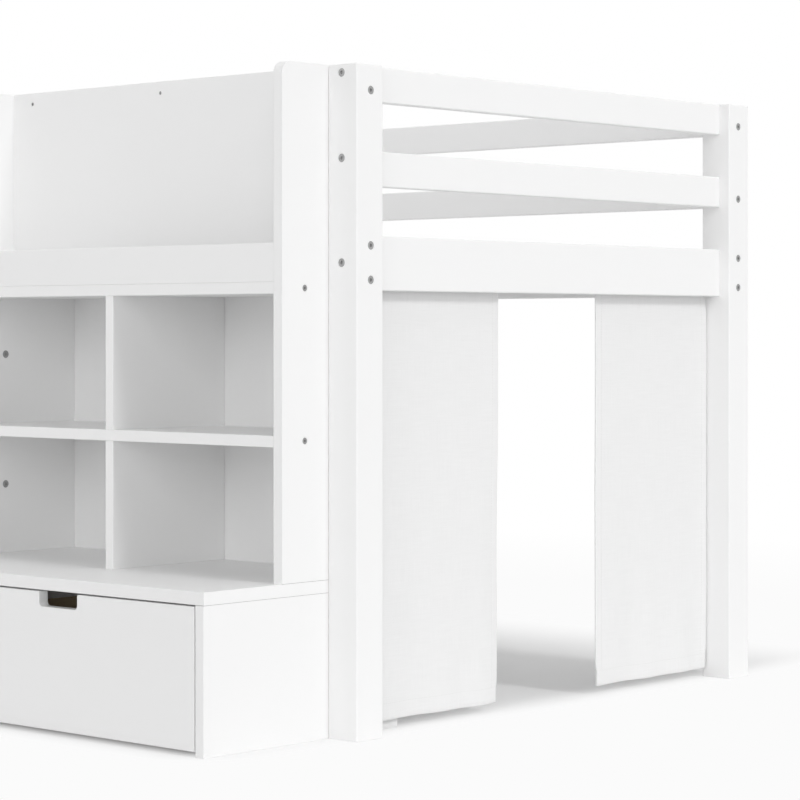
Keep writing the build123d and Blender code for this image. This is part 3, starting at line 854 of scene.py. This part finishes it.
def curtain_swing(sizes, cut, seed):
    """A function that moves a flat point of a curtain to where the hanging cloth is"""
    width = cut.high.y - cut.low.y
    height = cut.high.z - cut.low.z
    depth = sizes.fold_depth

    def drift(pace, across, down):
        return noise.noise(Vector((seed * pace[0], across * pace[1], down * pace[2])))

    def moved(point):
        across = (point.y - cut.low.y) / width
        free = across if cut.outwards < 0 else 1.0 - across
        drop = max(0.0, min(1.0, (cut.high.z - point.z) / height))
        ease = drop ** FOLD_EASE
        waves = 0.0
        for count, shift, share in FOLDS:
            waves += share * math.sin(2 * math.pi * (count * across + shift * seed))
        ripple = drift(RIPPLE_PACE, point.y, point.z)
        swing = depth * (ease * waves + RIPPLE_SHARE * (TOP_RIPPLE + drop) * ripple)
        lift = LIFT_SHARE * depth * ease * drift(LIFT_PACE, point.y, 1.0)
        pull = PULL_SHARE * depth * drift(PULL_PACE, across, point.z)
        spread = sizes.outer_lap * smooth_step(SPREAD_FROM, SPREAD_TO, drop) * (1.0 - free)
        return point + Vector((swing, cut.outwards * (spread - pull * drop * free), lift * drop))

    return moved


def half_turn(radius, count):
    """Offsets along a half circle, as steps across and outwards, without its two ends"""
    turns = [math.pi * n / (count + 1) for n in range(1, count + 1)]
    return [(radius * (math.cos(turn) - 1.0), radius * math.sin(turn)) for turn in turns]


def cloth_path(sizes, cut):
    """The line of the cloth from the pocket's seam over the rod, down the front and up behind the hem"""
    slack = 1.4 * sizes.thickness
    radius = cut.rod_radius + slack
    behind = cut.rod.x - sizes.thickness
    path = [(behind, cut.seam - sizes.seam_tail), (behind, cut.seam)]
    start, sweep = math.radians(240), math.radians(300)
    for n in range(POCKET_STEPS + 1):
        turn = start - n * sweep / POCKET_STEPS
        path.append((cut.rod.x + radius * math.cos(turn), cut.rod.z + radius * math.sin(turn)))
    fold = sizes.layer / 2
    drop = cut.seam - cut.bottom - fold
    path += [(cut.front, cut.seam - n * drop / sizes.rows) for n in range(sizes.rows + 1)]
    path += [(cut.front + across, cut.bottom + fold - out) for across, out in half_turn(fold, FOLD_STEPS)]
    rise = sizes.bottom_hem - fold
    hem_x = cut.front - sizes.layer
    path += [(hem_x, cut.bottom + fold + n * rise / BOTTOM_STEPS) for n in range(BOTTOM_STEPS + 1)]
    return path


def ribbon(path, y_low, y_high, columns):
    """A sheet made by drawing an open path, in the XZ plane, along Y; each vertex keeps its run along it"""
    mesh = bmesh.new()
    run = mesh.verts.layers.float.new("run")
    chain = [mesh.verts.new((x, y_low, z)) for x, z in path]
    edges = [mesh.edges.new(pair) for pair in zip(chain, chain[1:])]
    for edge, before, after in zip(edges, chain, chain[1:]):
        after[run] = before[run] + edge.calc_length()
    cut_length = chain[-1][run]
    step = Vector((0.0, (y_high - y_low) / columns, 0.0))
    bmesh.ops.spin(mesh, geom=chain + edges, axis=(0, 1, 0), angle=0.0, steps=columns, dvec=step)
    return mesh, cut_length


def turn_in_sides(mesh, sizes, cut):
    """Fold both sides of the cloth behind it, from the pocket's seam down to the bottom hem"""
    near = 0.01 * MM
    top, bottom = cut.seam + near, cut.bottom + sizes.bottom_hem
    steps = [Vector((across, -out, 0.0)) for across, out in half_turn(sizes.layer / 2, FOLD_STEPS)]
    steps += [Vector((-sizes.layer, n * sizes.side_hem / SIDE_STEPS, 0.0)) for n in range(SIDE_STEPS + 1)]
    lengths = []
    for y, inwards in ((cut.y_low, 1.0), (cut.y_high, -1.0)):
        rim = [
            edge
            for edge in mesh.edges
            if edge.is_boundary
            and all(abs(v.co.y - y) < near and abs(v.co.x - cut.front) < near for v in edge.verts)
            and all(bottom <= v.co.z <= top for v in edge.verts)
        ]
        lengths.append(sum(edge.calc_length() for edge in rim))
        before = Vector()
        for step in steps:
            made = bmesh.ops.extrude_edge_only(mesh, edges=rim)["geom"]
            moved = [part for part in made if isinstance(part, bmesh.types.BMVert)]
            fresh = set(moved)
            strips = [part for part in made if isinstance(part, bmesh.types.BMEdge)]
            rim = [edge for edge in strips if fresh.issuperset(edge.verts)]
            shift = step - before
            bmesh.ops.translate(mesh, verts=moved, vec=(shift.x, shift.y * inwards, 0.0))
            before = step
    return lengths


def map_cloth(mesh, cut):
    """A UV map in metres: across the cloth, and along its run"""
    run = mesh.verts.layers.float["run"]
    layer = mesh.loops.layers.uv.new("UVMap")
    for face in mesh.faces:
        for loop in face.loops:
            loop[layer].uv = (loop.vert.co.y - cut.y_low, loop.vert[run])


def stitch_seams(name, sizes, cut, swing, thread):
    """Straight stitches along the side hems, the bottom hem and the pocket"""
    skin = cut.front + sizes.thickness / 2
    inset = sizes.side_hem - sizes.seam_margin
    hem = cut.bottom + sizes.bottom_hem - sizes.seam_margin
    seams = [
        (Vector((skin, cut.y_low + inset, cut.seam)), Vector((skin, cut.y_low + inset, hem))),
        (Vector((skin, cut.y_high - inset, cut.seam)), Vector((skin, cut.y_high - inset, hem))),
        (Vector((skin, cut.y_low, hem)), Vector((skin, cut.y_high, hem))),
        (Vector((skin, cut.y_low, cut.seam)), Vector((skin, cut.y_high, cut.seam))),
    ]
    seats = []
    for start, end in seams:
        run = end - start
        count = int(run.length / sizes.stitch_pitch)
        seats += [seated(swing(start + run * ((n + 0.5) / count)), run) for n in range(count)]
    stitch = bmesh.new()
    shape = Matrix.Diagonal((sizes.thread / 2, sizes.thread / 2, sizes.stitch / 2, 1.0))
    bmesh.ops.create_uvsphere(stitch, u_segments=6, v_segments=5, radius=1.0, matrix=shape)
    return new_piece(set_down(stitch, seats), name, thread, smooth=True)


def sew_curtain(name, seed, sizes, linen, thread):
    """One hemmed curtain on the rod, with the thread of its seams as a piece of its own"""
    cut = CurtainCut(name, sizes)
    mesh, cut_length = ribbon(cloth_path(sizes, cut), cut.y_low, cut.y_high, sizes.columns)
    side_lengths = turn_in_sides(mesh, sizes, cut)
    bmesh.ops.recalc_face_normals(mesh, faces=mesh.faces)
    map_cloth(mesh, cut)
    swing = curtain_swing(sizes, cut, seed)
    for vert in mesh.verts:
        vert.co = swing(vert.co)
    cloth = new_piece(mesh, f"{name}_cloth", linen, smooth=True)
    thick = cloth.modifiers.new("thickness", "SOLIDIFY")
    thick.thickness = sizes.thickness
    thick.offset = 0.0
    seams = stitch_seams(f"{name}_seams", sizes, cut, swing, thread)
    for piece in (cloth, seams):
        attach(piece, name)
    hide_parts(name)


class BED_OT_hang_curtains(bpy.types.Operator):
    """Sew the two curtains and hang them on the rod"""

    bl_idname = "bed.hang_curtains"
    bl_label = "Hang curtains"

    def execute(self, context):
        settings = context.scene.bed_finish
        linen, thread = linen_material(settings), thread_material(settings)
        for seed, name in enumerate(("curtain_front", "curtain_back"), start=1):
            sew_curtain(name, seed, context.scene.bed_curtains, linen, thread)
        return {"FINISHED"}


# Floor, light and camera

LAMP_DIRECTIONS = {
    "top_lamp": (0.20, -0.05, 1.0),
    "front_lamp": (0.0, -1.0, 0.12),
    "left_lamp": (-0.60, -0.75, 0.15),
    "right_lamp": (0.50, -0.80, 0.25),
    "end_lamp": (1.0, 0.0, 0.65),
}
LAMP_DISTANCE = 4.0
SENSOR_WIDTH = 36.0
VIEW_DISTANCE = 200.0


def seen_directly(tree):
    """1 for rays from the camera and for reflected and refracted ones, else 0"""
    rays = tree.nodes.new("ShaderNodeLightPath").outputs
    mirrored = math_node(tree, "MAXIMUM", rays["Is Glossy Ray"], rays["Is Transmission Ray"])
    return math_node(tree, "MAXIMUM", rays["Is Camera Ray"], mirrored)


def distance_from_shadow(tree, settings):
    """0 under the bed, 1 where the soft edge of its shadow ends"""
    here = tree.nodes.new("ShaderNodeTexCoord").outputs["Object"]
    beyond = vector_node(tree, "SUBTRACT", here, settings.shadow_high)[0]
    before = vector_node(tree, "SUBTRACT", settings.shadow_low, here)[0]
    far = vector_node(tree, "DIVIDE", beyond, settings.fade_high)[0]
    near = vector_node(tree, "DIVIDE", before, settings.fade_low)[0]
    either = vector_node(tree, "MAXIMUM", far, near)[0]
    outside = vector_node(tree, "MAXIMUM", either)[0]
    return vector_node(tree, "LENGTH", outside)["Value"]


def floor_level(tree, settings):
    """Level of the open floor, which grows to white away from the bed"""
    here = tree.nodes.new("ShaderNodeTexCoord").outputs["Object"]
    distance = vector_node(tree, "LENGTH", here)["Value"]
    reach = {"start": settings.white_from, "end": settings.white_at}
    return stretch_range(tree, distance, low=settings.floor_white, high=1.0, **reach)


def lay_floor(settings):
    """A pale floor that keeps the bed's shadow and is plain white further off, where it is seen"""
    mesh = bmesh.new()
    bmesh.ops.create_grid(mesh, x_segments=1, y_segments=1, size=settings.floor_size / 2)
    made = bpy.data.materials.new("studio_floor")
    tree = cleared_tree(made)
    plain = place(tree, "ShaderNodeBsdfDiffuse", {"Color": opaque(settings.floor)})
    shaded = place(tree, "ShaderNodeBsdfDiffuse", {"Color": opaque(settings.floor_seen)})
    white = place(tree, "ShaderNodeEmission", {"Color": WHITE, "Strength": floor_level(tree, settings)})
    distance = {"Value": distance_from_shadow(tree, settings)}
    fade = place(tree, "ShaderNodeMapRange", distance, interpolation_type="SMOOTHSTEP").outputs["Result"]
    seen = blend_shaders(tree, fade, shaded, white)
    surface = blend_shaders(tree, seen_directly(tree), plain, seen)
    place(tree, "ShaderNodeOutputMaterial", {"Surface": surface.outputs[0]})
    floor = new_piece(mesh, "studio_floor", made)


def light_world(scene, settings):
    """Soft light that grows towards the curtained end and the back, and is white where it is seen"""
    world = bpy.data.worlds.new("studio")
    tree = cleared_tree(world)
    direction = parts_of(tree, tree.nodes.new("ShaderNodeTexCoord").outputs["Generated"])
    strength = settings.sky
    for axis, gain in ((0, settings.sky_end), (1, settings.sky_behind)):
        added = math_node(tree, "MULTIPLY", direction[axis], gain)
        strength = math_node(tree, "ADD", strength, math_node(tree, "MAXIMUM", added, 0.0))
    sky = place(tree, "ShaderNodeBackground", {"Color": WHITE, "Strength": strength})
    white = place(tree, "ShaderNodeBackground", {"Color": WHITE, "Strength": 1.0})
    surface = blend_shaders(tree, seen_directly(tree), sky, white)
    place(tree, "ShaderNodeOutputWorld", {"Surface": surface.outputs[0]})
    scene.world = world


def hang_lamp(scene, name, strength, spread, towards):
    """An even lamp that shines from the given direction"""
    lamp = bpy.data.lights.new(name, "SUN")
    lamp.energy = strength
    lamp.angle = spread
    holder = bpy.data.objects.new(name, lamp)
    holder.rotation_euler = towards.to_track_quat("Z", "Y").to_euler()
    holder.location = towards * LAMP_DISTANCE
    scene.collection.objects.link(holder)


def aim_camera(scene, settings):
    """A level camera at the photo's place"""
    lens = bpy.data.cameras.new("camera")
    lens.lens = settings.lens
    lens.sensor_width = SENSOR_WIDTH
    lens.shift_y = settings.shift
    lens.clip_end = VIEW_DISTANCE
    camera = bpy.data.objects.new("camera", lens)
    camera.location = settings.eye
    camera.rotation_euler = (math.pi / 2, 0.0, settings.heading)
    scene.collection.objects.link(camera)
    scene.camera = camera


class BED_OT_set_stage(bpy.types.Operator):
    """Set the floor, the light and the camera"""

    bl_idname = "bed.set_stage"
    bl_label = "Set stage"

    def execute(self, context):
        settings = context.scene.bed_studio
        scene = context.scene
        scene.view_settings.view_transform = "Standard"
        lay_floor(settings)
        light_world(scene, settings)
        for name, towards in LAMP_DIRECTIONS.items():
            spread = settings.end_spread if name == "end_lamp" else settings.lamp_spread
            hang_lamp(scene, name, getattr(settings, name), spread, Vector(towards))
        aim_camera(scene, settings)
        return {"FINISHED"}


# Panel and registration


class BED_PT_dressing(bpy.types.Panel):
    """Buttons and settings of the loft bed's dressing"""

    bl_label = "Loft bed"
    bl_idname = "BED_PT_dressing"
    bl_space_type = "VIEW_3D"
    bl_region_type = "UI"
    bl_category = "Loft bed"

    def draw(self, context):
        for step in STEPS:
            self.layout.operator(step.bl_idname)
        for name, group in GROUPS.items():
            box = self.layout.box()
            for field in group.__annotations__:
                box.prop(getattr(context.scene, name), field)


STEPS = (
    BED_OT_paint_timber,
    BED_OT_paint_boards,
    BED_OT_finish_drawers,
    BED_OT_finish_metal,
    BED_OT_drive_screws,
    BED_OT_draw_joints,
    BED_OT_hang_curtains,
    BED_OT_set_stage,
)
GROUPS = {
    "bed_finish": FinishSettings,
    "bed_screws": ScrewSettings,
    "bed_curtains": CurtainSettings,
    "bed_studio": StudioSettings,
}


def register():
    for name, group in GROUPS.items():
        bpy.utils.register_class(group)
        setattr(bpy.types.Scene, name, PointerProperty(type=group))
    for made in (*STEPS, BED_PT_dressing):
        bpy.utils.register_class(made)


def unregister():
    for made in (BED_PT_dressing, *reversed(STEPS)):
        bpy.utils.unregister_class(made)
    for name, group in GROUPS.items():
        delattr(bpy.types.Scene, name)
        bpy.utils.unregister_class(group)


def main():
    register()
    bpy.ops.bed.paint_timber()
    bpy.ops.bed.paint_boards()
    bpy.ops.bed.finish_drawers()
    bpy.ops.bed.finish_metal()
    bpy.ops.bed.drive_screws()
    bpy.ops.bed.draw_joints()
    bpy.ops.bed.hang_curtains()
    bpy.ops.bed.set_stage()


if __name__ == "__main__":
    main()
